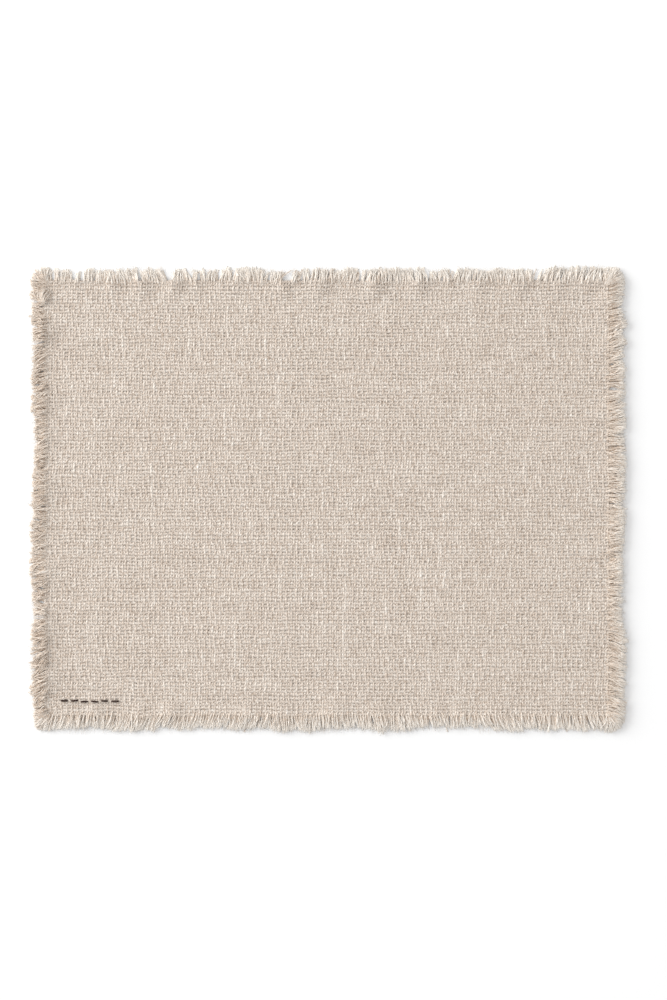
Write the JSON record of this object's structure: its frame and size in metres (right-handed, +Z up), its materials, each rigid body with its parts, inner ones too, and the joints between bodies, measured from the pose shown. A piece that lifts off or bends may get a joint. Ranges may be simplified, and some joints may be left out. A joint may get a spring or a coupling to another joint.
{
  "type": "frayed fabric placemat",
  "caption": "Flat rectangular woven placemat with a short frayed fringe on all four edges and soft ripples along them.",
  "frame": {"origin": "on the table under the middle of the mat, fringe included", "axes": "+X along the long side to the right, +Y across the mat to the back edge, +Z up from the table"},
  "size_m": [0.45, 0.35, 0.0046],
  "materials": {
    "woven_cloth": "matt plain weave of thick natural beige yarn with off-white slubs",
    "fringe_yarn": "matt loose beige yarn ends",
    "dark_thread": "matt dark brown twisted thread"
  },
  "bodies": {
    "root": {"ground_cloth": "woven_cloth", "fringe_front": "fringe_yarn", "fringe_right": "fringe_yarn", "fringe_back": "fringe_yarn", "fringe_left": "fringe_yarn"}
  },
  "joints": []
}
